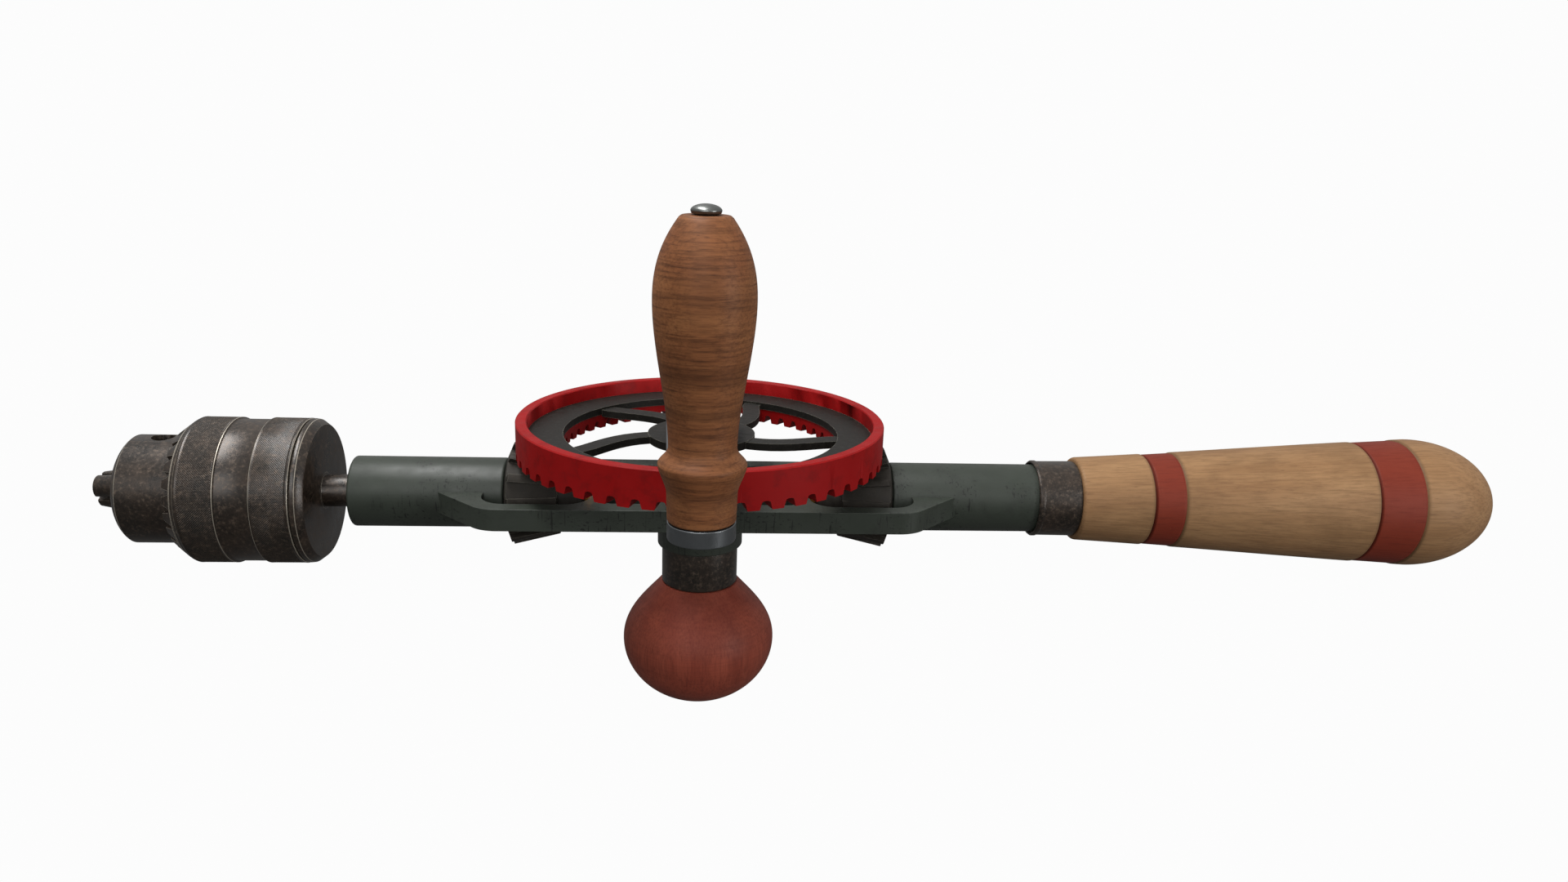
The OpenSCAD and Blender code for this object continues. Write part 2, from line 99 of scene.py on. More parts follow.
def make_world():
    """A pale studio: bright above, mid at eye level, dark below."""
    world = bpy.data.worlds.new("studio")
    world.use_nodes = True
    nodes, links = world.node_tree.nodes, world.node_tree.links
    place = nodes.new("ShaderNodeTexCoord")
    split = nodes.new("ShaderNodeSeparateXYZ")
    span = nodes.new("ShaderNodeMapRange")
    span.inputs["From Min"].default_value = -1
    ramp = nodes.new("ShaderNodeValToRGB")
    stops = ((0.0, 0.09), (0.44, 0.17), (0.56, 0.38), (0.8, 0.6), (1.0, 0.7))
    for i, (where, level) in enumerate(stops):
        stop = ramp.color_ramp.elements[i] if i < 2 else ramp.color_ramp.elements.new(where)
        stop.position = where
        stop.color = (level, level, level, 1)
    links.new(place.outputs["Generated"], split.inputs[0])
    links.new(split.outputs["Z"], span.inputs["Value"])
    links.new(span.outputs[0], ramp.inputs[0])
    links.new(ramp.outputs[0], nodes["Background"].inputs["Color"])
    nodes["Background"].inputs["Strength"].default_value = 1.0
    bpy.context.scene.world = world


def backdrop_material():
    material = bpy.data.materials.new("backdrop")
    material.use_nodes = True
    nodes, links = material.node_tree.nodes, material.node_tree.links
    nodes.clear()
    glow = nodes.new("ShaderNodeEmission")
    glow.inputs["Color"].default_value = (0.975, 0.975, 0.975, 1)
    links.new(glow.outputs[0], nodes.new("ShaderNodeOutputMaterial").inputs[0])
    return material


def make_backdrop():
    """A pale floor under the drill that turns up into a dome; it gives no light of its own to the drill."""
    low = cad_box[0].z - 0.002
    centre = (cad_box[0] + cad_box[1]) / 2
    radius = 6.0
    floor_share = 0.35
    profile = [(radius * t * floor_share / 4, low) for t in range(5)]
    bend = radius * (1 - floor_share)
    profile += [
        (radius * floor_share + bend * math.sin(math.radians(a)),
         low + bend * (1 - math.cos(math.radians(a))))
        for a in range(10, 181, 10)
    ]
    columns = 48
    points = [
        (centre.x + r * math.cos(2 * math.pi * c / columns),
         centre.y + r * math.sin(2 * math.pi * c / columns), z)
        for r, z in profile for c in range(columns)
    ]
    faces = [
        (i * columns + c, i * columns + (c + 1) % columns,
         (i + 1) * columns + (c + 1) % columns, (i + 1) * columns + c)
        for i in range(len(profile) - 1) for c in range(columns)
    ]
    mesh = bpy.data.meshes.new("floor")
    mesh.from_pydata(points, [], faces)
    floor = bpy.data.objects.new("floor", mesh)
    floor.data.materials.append(backdrop_material())
    for ray in ("diffuse", "glossy", "transmission", "shadow"):
        setattr(floor, "visible_" + ray, False)
    bpy.context.scene.collection.objects.link(floor)


make_camera()
make_world()
make_backdrop()
area_light("key", (-0.03, -0.05, 0.75), (0.16, 0, 0), (0.6, 0.2), 6.8)
area_light("front", (0.0, -0.9, 0.45), (0.18, 0, 0.02), (0.7, 0.5), 3.2)
area_light("side", (0.75, -0.45, 0.12), (0.16, -0.08, 0.0), (0.12, 0.4), 2.0)
bpy.context.scene.view_settings.view_transform = "Standard"


# ---------------------------------------------------------------- materials

def srgb(red, green, blue):
    """A colour given as 0 to 255 levels, as the linear colour that a shader wants."""
    def linear(level):
        level /= 255
        return level / 12.92 if level <= 0.04045 else ((level + 0.055) / 1.055) ** 2.4
    return (linear(red), linear(green), linear(blue), 1.0)


class Finish:
    """One procedural material, built node by node. Lengths are in millimetres."""

    def __init__(self, name, **sockets):
        self.material = bpy.data.materials.new(name)
        self.material.use_nodes = True
        self.tree = self.material.node_tree
        self.shader = self.tree.nodes["Principled BSDF"]
        self.place = self.add("TexCoord", out="Object")
        for key, value in sockets.items():
            self.feed(self.shader.inputs[key.replace("_", " ")], value)

    def feed(self, socket, value):
        if isinstance(value, bpy.types.NodeSocket):
            self.tree.links.new(value, socket)
        elif value is not None:
            socket.default_value = value

    def add(self, kind, inputs=(), out=0, **settings):
        node = self.tree.nodes.new("ShaderNode" + kind)
        for key, value in settings.items():
            setattr(node, key, value)
        for key, value in dict(inputs).items():
            self.feed(node.inputs[key], value)
        return node.outputs[out]

    def scaled(self, stretch):
        return self.add("Mapping", {"Vector": self.place, "Scale": stretch})

    def noise(self, size, stretch=(1, 1, 1), detail=4, rough=0.6, warp=0.0):
        """Noise from 0 to 1 whose grains are about size across; stretch above 1 squeezes an axis."""
        return self.add("TexNoise", {"Vector": self.scaled(stretch), "Scale": 1 / (size * MM),
                                     "Detail": detail, "Roughness": rough, "Distortion": warp})

    def span(self, value, low, high, to_low=0.0, to_high=1.0):
        return self.add("MapRange", {"Value": value, "From Min": low, "From Max": high,
                                     "To Min": to_low, "To Max": to_high})

    def sum(self, kind, a, b):
        return self.add("Math", {0: a, 1: b}, operation=kind, use_clamp=kind != "SUBTRACT")

    def mix(self, factor, a, b):
        return self.add("Mix", {"Factor": factor, 6: a, 7: b}, out=2, data_type="RGBA")

    def edges(self, width):
        """1 along the part's edges, 0 on its open faces."""
        round_normal = self.add("Bevel", {"Radius": width * MM}, samples=6)
        flat_normal = self.add("NewGeometry", out="Normal")
        match = self.add("VectorMath", {0: round_normal, 1: flat_normal}, out="Value",
                         operation="DOT_PRODUCT")
        return self.span(match, 0.96, 0.75)

    def line(self, x, width):
        """1 on a thin line round the drill axis at x, 0 away from it."""
        along = self.add("SeparateXYZ", {0: self.place}, out="X")
        away = self.add("Math", {0: self.sum("SUBTRACT", along, x * MM)}, operation="ABSOLUTE")
        return self.span(away, width * MM, 0.0)

    def bump(self, height, depth, strength):
        return self.add("Bump", {"Height": height, "Distance": depth * MM, "Strength": strength})

    def done(self, **sockets):
        for key, value in sockets.items():
            self.feed(self.shader.inputs[key.replace("_", " ")], value)
        return self.material


def scratches(f, stretch):
    """Thin, sparse lines along the axis that stretch leaves long."""
    lines = f.noise(0.5, stretch, detail=1, rough=0.4)
    where = f.noise(14, detail=2)
    return f.sum("MULTIPLY", f.span(lines, 0.66, 0.69),
                 f.span(where, 0.44, 0.54))


def frame_paint():
    f = Finish("grey_green_paint", Metallic=0.0, IOR=1.45, Specular_IOR_Level=0.33)
    cloud = f.noise(22, detail=5)
    grime = f.span(f.noise(7, detail=6, rough=0.7), 0.5, 0.74)
    colour = f.mix(cloud, srgb(41, 45, 40), srgb(51, 56, 49))
    colour = f.mix(f.sum("MULTIPLY", grime, 0.5), colour, srgb(30, 32, 28))
    marks = f.sum("ADD", scratches(f, (0.5, 0.05, 1)), scratches(f, (1.0, 0.6, 0.06)))
    colour = f.mix(f.sum("MULTIPLY", marks, 0.8), colour, srgb(20, 21, 19))
    chips = f.sum("MULTIPLY", f.edges(0.35), f.span(f.noise(3, detail=5), 0.5, 0.58))
    colour = f.mix(f.sum("MULTIPLY", chips, 0.5), colour, srgb(92, 96, 86))
    orange_peel = f.noise(1.6, detail=2)
    height = f.sum("SUBTRACT", f.sum("MULTIPLY", orange_peel, 0.5), f.sum("MULTIPLY", marks, 0.6))
    return f.done(Base_Color=colour,
                  Roughness=f.span(f.noise(5, detail=5), 0.3, 0.7, 0.34, 0.52),
                  Normal=f.bump(height, 0.05, 0.35))


def red_paint():
    f = Finish("red_enamel", Metallic=0.0, IOR=1.36, Specular_IOR_Level=0.22)
    cloud = f.noise(16, detail=5)
    colour = f.mix(cloud, srgb(122, 7, 8), srgb(138, 11, 12))
    dirt = f.sum("MULTIPLY", f.span(f.noise(5, detail=7, rough=0.72), 0.5, 0.72), 0.45)
    colour = f.mix(dirt, colour, srgb(62, 8, 8))
    rubbed = f.sum("MULTIPLY", f.edges(0.4), f.span(f.noise(2.2, detail=5), 0.5, 0.62))
    colour = f.mix(f.sum("MULTIPLY", rubbed, 0.3), colour, srgb(165, 40, 36))
    return f.done(Base_Color=colour,
                  Roughness=f.span(f.noise(4, detail=5), 0.3, 0.7, 0.42, 0.62),
                  Normal=f.bump(f.noise(1.2, detail=3), 0.04, 0.3))


def dark_iron(name="dark_iron", base=(36, 33, 29), light=(50, 46, 41)):
    """Dull cast iron, mottled from base to light, with pale worn edges."""
    f = Finish(name, Metallic=0.1, IOR=1.5, Specular_IOR_Level=0.18)
    mottle = f.noise(2.6, detail=8, rough=0.72)
    colour = f.mix(f.span(mottle, 0.32, 0.7), srgb(*base), srgb(*light))
    specks = f.span(f.noise(0.9, detail=3), 0.62, 0.7)
    colour = f.mix(f.sum("MULTIPLY", specks, 0.35), colour, srgb(62, 58, 52))
    worn = f.sum("MULTIPLY", f.edges(0.3), f.span(f.noise(3.5, detail=4), 0.3, 0.5))
    colour = f.mix(f.sum("MULTIPLY", worn, 0.75), colour, srgb(122, 119, 108))
    return f.done(Base_Color=colour, Roughness=f.span(mottle, 0.3, 0.7, 0.42, 0.66),
                  Normal=f.bump(mottle, 0.06, 0.4))


def gunmetal(name="gunmetal", edge_width=0.28, lines=(), edges_to=None):
    """Blackened steel, mottled, with pale worn edges, fainter past the station edges_to.

    lines adds worn rings, each a station and a width.
    """
    f = Finish(name, IOR=1.6)
    patches = f.noise(9, detail=7, rough=0.7, warp=0.4)
    fine = f.noise(1.1, detail=6, rough=0.75)
    rolled = f.noise(0.5, (1, 0.04, 0.04), detail=3)
    colour = f.mix(f.span(patches, 0.38, 0.62), srgb(28, 23, 18), srgb(54, 44, 36))
    colour = f.mix(f.sum("MULTIPLY", f.span(fine, 0.52, 0.66), 0.6), colour, srgb(98, 83, 70))
    colour = f.mix(f.sum("MULTIPLY", f.span(fine, 0.47, 0.33), 0.6), colour, srgb(20, 16, 13))
    worn = f.edges(edge_width)
    if edges_to:
        along = f.add("SeparateXYZ", {0: f.place}, out="X")
        worn = f.sum("MULTIPLY", worn, f.span(along, (edges_to + 0.2) * MM, edges_to * MM, 0.06, 1.0))
    for x, width in lines:
        worn = f.sum("ADD", worn, f.line(x, width))
    worn = f.sum("MULTIPLY", worn, f.span(f.noise(4, detail=4), 0.1, 0.36))
    colour = f.mix(f.sum("MULTIPLY", worn, 0.9), colour, srgb(168, 160, 146))
    height = f.sum("ADD", f.sum("MULTIPLY", fine, 0.6), f.sum("MULTIPLY", rolled, 0.4))
    both = f.sum("ADD", f.sum("MULTIPLY", patches, 0.5), f.sum("MULTIPLY", fine, 0.5))
    return f.done(Base_Color=colour, Metallic=f.span(patches, 0.3, 0.7, 0.25, 0.5),
                  Roughness=f.span(both, 0.32, 0.68, 0.2, 0.46),
                  Normal=f.bump(height, 0.05, 0.5))


def plain_metal(name, colour, rough, brushed=(0.05, 0.05, 1), metallic=1.0):
    """Bare turned or rolled metal with fine lines across the axis that brushed leaves at 1."""
    f = Finish(name, Metallic=metallic)
    lines = f.noise(0.35, brushed, detail=3)
    stain = f.noise(5, detail=6, rough=0.7)
    dark = tuple(0.45 * c for c in srgb(*colour)[:3]) + (1.0,)
    tint = f.mix(f.sum("MULTIPLY", f.span(stain, 0.5, 0.72), 0.6), srgb(*colour), dark)
    shine = f.sum("MULTIPLY", f.edges(0.25), 0.35)
    tint = f.mix(shine, tint, srgb(205, 205, 200))
    return f.done(Base_Color=tint, Roughness=f.span(stain, 0.3, 0.7, rough - 0.08, rough + 0.12),
                  Normal=f.bump(lines, 0.02, 0.3))


def wood(name, along, pale, deep, streak, rough, turning=0.0, grooves=()):
    """Wood with its grain along one axis.

    turning adds the darker rings that a lathe tool leaves round an upright part. grooves adds painted
    shade in thin rings round the drill axis, where the grooves lie, each a station and a width.
    """
    def grain(long_share):
        return tuple(long_share if i == along else 1.0 for i in range(3))

    f = Finish(name, Metallic=0.0, IOR=1.4, Specular_IOR_Level=0.2)
    rings = (0.05, 0.05, 1.0)
    figure = f.noise(7.0, grain(0.07), detail=4, rough=0.5, warp=0.8)
    fibre = f.noise(0.55, grain(0.03), detail=5, rough=0.7)
    pores = f.noise(0.28, grain(0.06), detail=2)
    cloud = f.noise(26, detail=4)
    colour = f.mix(f.span(figure, 0.3, 0.7), srgb(*pale), srgb(*deep))
    colour = f.mix(f.sum("MULTIPLY", f.span(fibre, 0.44, 0.72), 0.6), colour, srgb(*streak))
    colour = f.mix(f.sum("MULTIPLY", f.span(pores, 0.62, 0.72), 0.45), colour, srgb(*streak))
    if turning:
        tool = f.noise(0.55, rings, detail=6, rough=0.72)
        broad = f.noise(5, rings, detail=3)
        colour = f.mix(f.sum("MULTIPLY", f.span(tool, 0.47, 0.68), turning), colour, srgb(*streak))
        colour = f.mix(f.sum("MULTIPLY", f.span(broad, 0.5, 0.7), turning * 0.6), colour, srgb(*streak))
        fibre = f.sum("ADD", f.sum("MULTIPLY", fibre, 0.4), f.sum("MULTIPLY", tool, 0.6))
    dirt_and_groove_shade = tuple(0.5 * c for c in srgb(*deep)[:3]) + (1.0,)
    # Painted shade: each groove ring is darkened as though shaded inside the groove; the same dark tone
    # also serves the random dirt clouds below.
    for x, width in grooves:
        colour = f.mix(f.sum("MULTIPLY", f.line(x, width), 0.85), colour, dirt_and_groove_shade)
    colour = f.mix(f.sum("MULTIPLY", f.span(cloud, 0.5, 0.72), 0.45), colour, dirt_and_groove_shade)
    return f.done(Base_Color=colour, Roughness=f.span(fibre, 0.3, 0.7, rough - 0.08, rough + 0.1),
                  Normal=f.bump(fibre, 0.06, 0.5))


def band_paint():
    f = Finish("band_paint", Metallic=0.0, IOR=1.4, Specular_IOR_Level=0.2)
    fibre = f.noise(0.55, (0.04, 1, 1), detail=5, rough=0.7)
    colour = f.mix(f.noise(8, detail=5), srgb(100, 36, 24), srgb(113, 46, 31))
    colour = f.mix(f.sum("MULTIPLY", f.span(fibre, 0.5, 0.75), 0.5), colour, srgb(66, 23, 16))
    worn = f.sum("MULTIPLY", f.span(f.noise(1.5, detail=6, rough=0.75), 0.64, 0.74), 0.5)
    colour = f.mix(worn, colour, srgb(132, 84, 62))
    # Painted shade: a dark ring at each band's start, where the deep groove at its edge lies in shadow.
    for start, _ in BANDS:
        colour = f.mix(f.sum("MULTIPLY", f.line(GEAR_X + start, 0.8), 0.85), colour, srgb(34, 14, 10))
    return f.done(Base_Color=colour, Roughness=f.span(fibre, 0.3, 0.7, 0.45, 0.62),
                  Normal=f.bump(fibre, 0.05, 0.45))


MATERIALS = {
    "frame_paint": frame_paint(),
    "red_paint": red_paint(),
    "dark_iron": dark_iron(),
    # Painted shade: the spider gets a darker copy of the dark iron, because its upward faces catch more of
    # the overhead light.
    "spider": dark_iron("spider_iron_painted_shade", (21, 20, 17), (31, 29, 26)),
    "gunmetal": gunmetal(),
    "knurled": gunmetal("knurled_gunmetal", 0.32, edges_to=23,
                        lines=[(22.3, 0.1), (23.5, 0.14), (33.4, 0.14), (42.3, 0.14), (51.9, 0.14)]),
    "nose": gunmetal("chuck_gunmetal", 0.28, [(6.9, 0.16), (53.6, 0.12)]),
    "arm_steel": plain_metal("blued_bar", (104, 107, 109), 0.32, (1, 1, 0.05), 0.9),
    "steel": plain_metal("turned_steel", (116, 118, 116), 0.3),
    "bronze": plain_metal("bearing_bronze", (170, 120, 62), 0.4),
    # The handle's groove rings are painted shade at each band edge.
    "handle_wood": wood("oiled_hardwood", 0, (143, 111, 78), (126, 94, 64), (86, 62, 43), 0.5,
                        grooves=[(GEAR_X + x, 1.1) for band in BANDS for x in band]),
    "crank_wood": wood("stained_hardwood", 0, (134, 88, 55), (114, 70, 43), (60, 35, 21), 0.5,
                       turning=0.8),
    "knob_wood": wood("red_hardwood", 2, (134, 66, 50), (118, 54, 41), (76, 34, 27), 0.48,
                      turning=0.25),
    "band_paint": band_paint(),
}


# ---------------------------------------------------------------- shape helpers

def bezier(a, b, c, d, count=12):
    """Points along a cubic curve from a to d."""
    a, b, c, d = (Vector(p) for p in (a, b, c, d))
    made = []
    for i in range(count + 1):
        t = i / count
        s = 1 - t
        made.append(tuple(s * s * s * a + 3 * s * s * t * b + 3 * s * t * t * c + t * t * t * d))
    return made


def quarter(start, radius, length, count=24):
    """A dome from (start, radius) that closes on the axis after length."""
    angles = [math.pi / 2 * i / count for i in range(count + 1)]
    return [(start + length * math.sin(a), radius * math.cos(a) if i < count else 0.0)
            for i, a in enumerate(angles)]


def softened(outline, radius, sharp=18):
    """The outline with its corners rounded; a corner turns by more than sharp degrees."""
    made = [outline[0]]
    for before, corner, after in zip(outline, outline[1:], outline[2:]):
        u, v = Vector(before) - Vector(corner), Vector(after) - Vector(corner)
        turn = math.pi - u.angle(v, math.pi)
        if math.degrees(turn) < sharp:
            made.append(corner)
            continue
        reach = min(radius * math.tan(turn / 2), u.length * 0.45, v.length * 0.45)
        first = Vector(corner) + u.normalized() * reach
        last = Vector(corner) + v.normalized() * reach
        for i in range(5):
            t = i / 4
            made.append(tuple((1 - t) ** 2 * first + 2 * t * (1 - t) * Vector(corner) + t * t * last))
    made.append(outline[-1])
    return made


def add_piece(name, points, faces, slot, body, nodes, smooth=32):
    mesh = bpy.data.meshes.new(name)
    mesh.from_pydata([tuple(c * MM for c in p) for p in points], [], faces)
    return settle(name, mesh, slot, body, nodes, smooth)


def settle(name, mesh, slot, body, nodes, smooth=32, material=None):
    """Makes the mesh a tidy, smooth-shaded piece that rides on its body in place of the CAD nodes."""
    work = bmesh.new()
    work.from_mesh(mesh)
    bmesh.ops.remove_doubles(work, verts=work.verts, dist=1e-7)
    bmesh.ops.dissolve_degenerate(work, dist=1e-7, edges=work.edges)
    bmesh.ops.recalc_face_normals(work, faces=work.faces)
    work.to_mesh(mesh)
    work.free()
    mesh.shade_smooth()
    mesh.set_sharp_from_angle(angle=math.radians(smooth))
    piece = bpy.data.objects.new(name, mesh)
    bpy.context.scene.collection.objects.link(piece)
    if not mesh.materials:
        mesh.materials.append(MATERIALS[material or slot])
    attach(piece, body)
    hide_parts(*nodes)
    return piece


def on_axis(axis, along, radius, angle, centre):
    """The point at a distance along an axis, a radius from it and an angle round it."""
    side, up = radius * math.sin(angle), radius * math.cos(angle)
    if axis == "x":
        return (centre[0] + along, centre[1] - side, centre[2] + up)
    return (centre[0] + side, centre[1] + up, centre[2] + along)


def turned(name, outline, axis, centre, slot, body, nodes, columns=144, smooth=32):
    """A turned part: the outline of (along, radius) goes once round the axis."""
    points, rings = [], []
    for along, radius in outline:
        if radius < 1e-6:
            rings.append([len(points)] * columns)
            points.append(on_axis(axis, along, 0, 0, centre))
            continue
        rings.append([len(points) + c for c in range(columns)])
        points += [on_axis(axis, along, radius, 2 * math.pi * c / columns, centre)
                   for c in range(columns)]
    faces = []
    for one, two in zip(rings, rings[1:]):
        for c in range(columns):
            d = (c + 1) % columns
            face = list(dict.fromkeys([one[c], one[d], two[d], two[c]]))
            if len(face) > 2:
                faces.append(face)
    return add_piece(name, points, faces, slot, body, nodes, smooth)


def softened_node(node, width, slot, body, smooth=32, material=None):
    """The CAD node's own shape, its edges broken by a small rounding."""
    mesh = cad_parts[node].data.copy()
    mesh.materials.clear()
    work = bmesh.new()
    work.from_mesh(mesh)
    bmesh.ops.remove_doubles(work, verts=work.verts, dist=2e-6)
    bmesh.ops.dissolve_limit(work, angle_limit=math.radians(0.4), verts=work.verts, edges=work.edges)
    work.to_mesh(mesh)
    work.free()
    piece = settle(node + "_piece", mesh, slot, body, [node], smooth, material)
    bevel = piece.modifiers.new("rounding", "BEVEL")
    bevel.width = width * MM
    bevel.segments = 2
    bevel.limit_method = "ANGLE"
    bevel.angle_limit = math.radians(smooth)
    bevel.harden_normals = True
    return piece


# ---------------------------------------------------------------- frame

GEAR_AXIS = (GEAR_X, 0, 0)
TUBE_R = 9.6
TUBE_BORE = 7.6


def tube(name, node):
    low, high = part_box(node)
    start, end = low.x / MM - GEAR_X, high.x / MM - GEAR_X
    loop = [(start + 1, TUBE_BORE), (start, TUBE_BORE), (start, TUBE_R), (end, TUBE_R),
            (end, TUBE_BORE), (start + 1, TUBE_BORE)]
    turned(name, softened(loop, 0.7), "x", GEAR_AXIS, "frame_paint", "frame", [node])


tube("front_frame_tube", "front_tube")
tube("rear_frame_tube", "rear_tube")
softened_node("gear_frame", 0.55, "frame_paint", "frame")
softened_node("drive_washer", 0.1, "bronze", "frame")
softened_node("idler_washer", 0.1, "bronze", "frame")
softened_node("front_bush", 0.1, "bronze", "frame")


# ---------------------------------------------------------------- gears and crank

softened_node("crown_gear", 0.22, "red_paint", "wheel")
softened_node("wheel_spider", 0.22, "dark_iron", "wheel", material="spider")
softened_node("drive_pinion", 0.18, "dark_iron", "spindle")
softened_node("idler_pinion", 0.18, "dark_iron", "idler")
softened_node("drive_pin", 0.1, "steel", "spindle")
softened_node("wheel_hub", 0.3, "gunmetal", "wheel")
softened_node("crank_arm", 0.45, "arm_steel", "wheel")
softened_node("stud_washer", 0.2, "steel", "frame")
softened_node("stud_screw", 0.18, "steel", "frame")
softened_node("spindle", 0.2, "gunmetal", "spindle")

HANDLE_AT = (GEAR_X, CRANK_Y, 0)
HANDLE_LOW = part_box("crank_handle")[0].z / MM
HANDLE_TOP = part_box("crank_handle")[1].z / MM
PIN_R = 1.75
RIVET_R = 2.85
HEAD_LOW, HEAD_HIGH = 22.3, 23.5

rivet = [(HEAD_HIGH, 0), (HEAD_HIGH, PIN_R), (HANDLE_TOP + 0.2, PIN_R), (HANDLE_TOP + 0.2, RIVET_R - 0.2)]
rivet += [(HANDLE_TOP + 0.75, RIVET_R)] + quarter(HANDLE_TOP + 0.75, RIVET_R, 1.25)[1:]
under_head = [(HEAD_LOW, 0), (HEAD_LOW, 2.2), (HEAD_LOW + 0.5, 2.8), (HEAD_HIGH, 2.8), (HEAD_HIGH, 0)]
turned("crank_rivet", softened(under_head[:-1] + rivet[1:], 0.25), "z", HANDLE_AT,
       "steel", "wheel", ["crank_pin"], 96)

crank_outline = [(HANDLE_LOW, PIN_R + 0.05), (HANDLE_LOW, 6.45), (HANDLE_LOW + 0.3, 6.65)]
crank_outline += bezier((33, 6.8), (34.6, 7), (37.1, 8.48), (38.4, 8.48))
crank_outline += bezier((38.4, 8.48), (39.3, 8.48), (40, 6.7), (41.6, 6.5))[1:]
crank_outline += bezier((41.6, 6.5), (50, 6.5), (60, 9.56), (69.3, 9.56), 24)[1:]
crank_outline += bezier((69.3, 9.56), (75, 9.56), (79.5, 8.2), (HANDLE_TOP - 0.4, 4.9), 20)[1:]
crank_outline += [(HANDLE_TOP, 4.4), (HANDLE_TOP, PIN_R + 0.05), (HANDLE_LOW, PIN_R + 0.05)]
turned("crank_grip_wood", softened(crank_outline, 0.5), "z", HANDLE_AT,
       "crank_wood", "crank_grip", ["crank_handle"])


# ---------------------------------------------------------------- side knob and main handle

KNOB_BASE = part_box("knob_ferrule")[1].z / MM
KNOB_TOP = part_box("knob_ferrule")[0].z / MM
KNOB_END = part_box("side_knob")[0].z / MM
KNOB_R = (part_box("side_knob")[1].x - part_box("side_knob")[0].x) / 2 / MM
KNOB_MID = -42.9
RING_R = 10.64

SEAT_R = 9.6
SEAT_AT = KNOB_BASE - 1.2
STUD_R = 4

ring = [(KNOB_BASE, STUD_R), (KNOB_BASE, RING_R), (KNOB_TOP, RING_R), (KNOB_TOP, SEAT_R),
        (SEAT_AT, SEAT_R), (SEAT_AT, STUD_R), (KNOB_BASE, STUD_R)]
turned("knob_ring", softened(ring, 0.45), "z", GEAR_AXIS, "gunmetal", "frame", ["knob_ferrule"])

knob = [(SEAT_AT, 0), (SEAT_AT, SEAT_R), (KNOB_TOP, SEAT_R), (KNOB_TOP, 10.9)]
knob += bezier((KNOB_TOP - 0.45, 11.3), (-31.5, 16.3), (-36, KNOB_R), (KNOB_MID, KNOB_R), 24)
knob += [(KNOB_MID - x, r) for x, r in quarter(0, KNOB_R, KNOB_MID - KNOB_END, 32)[1:]]
turned("side_knob_wood", softened(knob, 0.3), "z", GEAR_AXIS, "knob_wood", "frame", ["side_knob"])

FERRULE_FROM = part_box("handle_ferrule")[0].x / MM - GEAR_X
WOOD_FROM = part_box("main_handle")[0].x / MM - GEAR_X
WOOD_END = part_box("main_handle")[1].x / MM - GEAR_X
HANDLE_R = (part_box("main_handle")[1].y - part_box("main_handle")[0].y) / 2 / MM
WOOD_R = 11.8
DOME_FROM = 206
FERRULE_R = 10.68

ferrule = [(FERRULE_FROM + 1.2, TUBE_R), (FERRULE_FROM + 1.2, TUBE_R + 0.5),
           (FERRULE_FROM, TUBE_R + 0.5), (FERRULE_FROM, FERRULE_R - 0.2),
           (FERRULE_FROM + 0.4, FERRULE_R + 0.1), (FERRULE_FROM + 1.2, FERRULE_R + 0.1),
           (FERRULE_FROM + 1.7, FERRULE_R - 0.12), (WOOD_FROM, FERRULE_R), (WOOD_FROM, TUBE_R),
           (FERRULE_FROM + 1.2, TUBE_R)]
turned("handle_ring", softened(ferrule, 0.25), "x", GEAR_AXIS, "gunmetal", "frame", ["handle_ferrule"])


def handle_radius(x):
    """The main handle's long taper, with each painted band sunk a little between two fine grooves."""
    t = (x - WOOD_FROM) / (DOME_FROM - WOOD_FROM)
    radius = WOOD_R + (HANDLE_R - WOOD_R) * (0.86 * t + 0.42 * t * t - 0.28 * t ** 3)
    for start, end in BANDS:
        inside = min(x - start, end - x)
        radius -= 0.22 * min(1, max(0, inside / 0.5 + 0.5))
        radius -= 0.6 * math.exp(-((x - start - 0.2) / 0.35) ** 2)
        radius -= 0.25 * math.exp(-((x - end) / 0.35) ** 2)
    return radius


def handle_stations():
    coarse = [WOOD_FROM + 1 + i * (DOME_FROM - WOOD_FROM - 1) / 60 for i in range(60)]
    fine = [edge + i * 0.11 for band in BANDS for edge in band for i in range(-12, 13)]
    return sorted(coarse + fine)


def main_handle():
    outline = [(WOOD_FROM, TUBE_R), (WOOD_FROM, WOOD_R - 0.9)]
    outline += bezier((WOOD_FROM, WOOD_R - 0.9), (WOOD_FROM, WOOD_R - 0.3),
                      (WOOD_FROM + 0.4, WOOD_R), (WOOD_FROM + 1, handle_radius(WOOD_FROM + 1)), 6)[1:]
    outline += [(x, handle_radius(x)) for x in handle_stations()]
    outline += quarter(DOME_FROM, HANDLE_R, WOOD_END - DOME_FROM, 36)
    piece = turned("main_handle_wood", outline, "x", GEAR_AXIS, "handle_wood", "frame",
                   ["main_handle"], 160)
    piece.data.materials.append(MATERIALS["band_paint"])
    for face in piece.data.polygons:
        x = face.center.x / MM - GEAR_X
        if face.center.yz.length / MM > TUBE_R + 1 and any(a < x < b for a, b in BANDS):
            face.material_index = 1


main_handle()


# ---------------------------------------------------------------- chuck

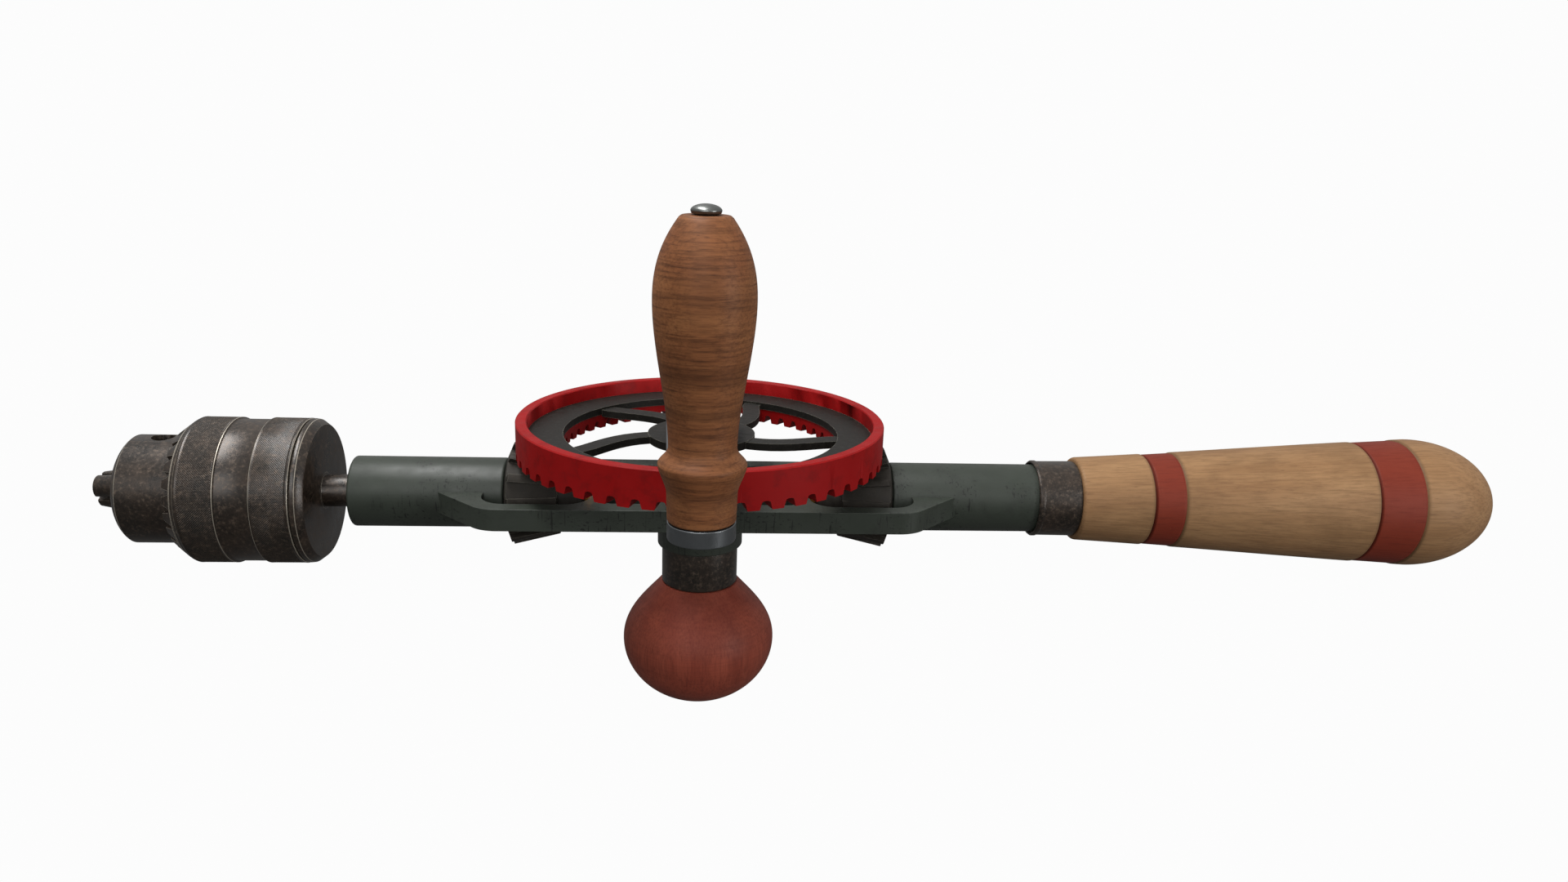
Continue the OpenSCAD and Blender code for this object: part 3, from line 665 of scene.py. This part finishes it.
SLEEVE_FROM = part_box("chuck_sleeve")[0].x / MM
SLEEVE_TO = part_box("chuck_sleeve")[1].x / MM
SLEEVE_R = (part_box("chuck_sleeve")[1].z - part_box("chuck_sleeve")[0].z) / 2 / MM
BODY_R = 14.6
KEY_TEETH = 24
KEY_ROOT = 22.1
KEY_BASE_HALF, KEY_TIP_HALF = 0.4, 0.24
COLUMNS = KEY_TEETH * 36
KNURLS = 216
KNURL_DEPTH = 0.16
KNURL_BANDS = ((24.3, 33.2), (42.5, SLEEVE_TO - 0.5))
WAIST_R = 19.25
NOSE_R, NOSE_SLOPE = 16.4, 3 / 3.9
FLARE_TO = 24.2
RELIEF_R = 16.6


def ridge(phase):
    """A saw of even slopes: 0 at whole numbers, 1 halfway between."""
    return 1 - abs(2 * (phase % 1) - 1)


def key_front(turn):
    """Where the sleeve's front edge lies at a share of a turn: forward on a key tooth, back in a gap."""
    off = abs((turn * KEY_TEETH) % 1 - 0.5)
    share = (KEY_BASE_HALF - off) / (KEY_BASE_HALF - KEY_TIP_HALF)
    return KEY_ROOT + (SLEEVE_FROM - KEY_ROOT) * min(1, max(0, share))


def sleeve_profile():
    """Stations of (x, radius, share of the full knurl depth) along the sleeve's outside."""
    rows = []
    for i in range(41):
        x = SLEEVE_FROM + (FLARE_TO - SLEEVE_FROM) * i / 40
        cone = NOSE_R + (x - SLEEVE_FROM) * NOSE_SLOPE
        groove = sum(0.25 * math.exp(-((x - at) / 0.13) ** 2) for at in (22.5, 23.45))
        rows.append((x, min(cone, 19.35 + (x - 23.4) * 0.5, SLEEVE_R) - groove, 0.0))
    for band, (start, end) in enumerate(KNURL_BANDS):
        if band == 1:
            rows += [(33.5, SLEEVE_R - 0.05, 0), (33.7, WAIST_R + 0.1, 0), (34.0, WAIST_R, 0),
                     (38.0, WAIST_R - 0.02, 0), (41.8, WAIST_R, 0), (42.05, WAIST_R + 0.1, 0),
                     (42.25, SLEEVE_R - 0.05, 0), (42.35, SLEEVE_R, 0)]
        count = round((end - start) / (2 * math.pi * SLEEVE_R / KNURLS / 4))
        rows += [(start + (end - start) * i / count, SLEEVE_R, min(1, i / 3, (count - i) / 3))
                 for i in range(count + 1)]
        rows.append((end + 0.15, SLEEVE_R, 0.0))
    rows += [(SLEEVE_TO - 0.25, SLEEVE_R - 0.03, 0), (SLEEVE_TO - 0.05, SLEEVE_R - 0.2, 0),
             (SLEEVE_TO, SLEEVE_R - 0.4, 0)]
    return rows


def chuck_sleeve():
    rows = sleeve_profile()
    pitch = 2 * math.pi * SLEEVE_R / KNURLS
    points = []
    for x, r, knurl in rows:
        for c in range(COLUMNS):
            turn = c / COLUMNS
            front = key_front(turn)
            at, radius = x, r
            if x < KEY_ROOT:
                at = front + (x - SLEEVE_FROM) * (KEY_ROOT - front) / (KEY_ROOT - SLEEVE_FROM)
                radius = nose_radius(rows, at)
            if knurl:
                a, b = turn * KNURLS + x / pitch, turn * KNURLS - x / pitch
                radius -= KNURL_DEPTH * knurl * (1 - min(ridge(a), ridge(b)))
            points.append(on_axis("x", at, radius, 2 * math.pi * turn, (0, 0, 0)))
    lip = len(rows)
    for at in (0, lip - 1):
        for c in range(COLUMNS):
            turn = c / COLUMNS
            x = key_front(turn) if at == 0 else rows[at][0]
            points.append(on_axis("x", x, BODY_R + 0.05 if at == 0 else RELIEF_R,
                                  2 * math.pi * turn, (0, 0, 0)))
    order = [lip] + list(range(lip)) + [lip + 1, lip]
    faces = [
        (one * COLUMNS + c, one * COLUMNS + (c + 1) % COLUMNS,
         two * COLUMNS + (c + 1) % COLUMNS, two * COLUMNS + c)
        for one, two in zip(order, order[1:]) for c in range(COLUMNS)
    ]
    piece = add_piece("knurled_sleeve", points, faces, "gunmetal", "sleeve",
                      ["chuck_sleeve", "split_nut"], 24)
    piece.data.materials[0] = MATERIALS["knurled"]


def nose_radius(rows, x):
    """The sleeve's radius at x, read between its stations."""
    for (xa, ra, _), (xb, rb, _) in zip(rows, rows[1:]):
        if xa <= x <= xb and xb > xa:
            return ra + (rb - ra) * (x - xa) / (xb - xa)
    return rows[0][1]


chuck_sleeve()
softened_node("chuck_body", 0.2, "gunmetal", "spindle", material="nose")
for jaw, body in (("jaw_1", "jaw_a"), ("jaw_2", "jaw_b"), ("jaw_3", "jaw_c")):
    softened_node(jaw, 0.18, "gunmetal", body)

for node in ("rear_plug", "idler_stud", "gear_stud"):
    softened_node(node, 0.15, "steel", "frame")
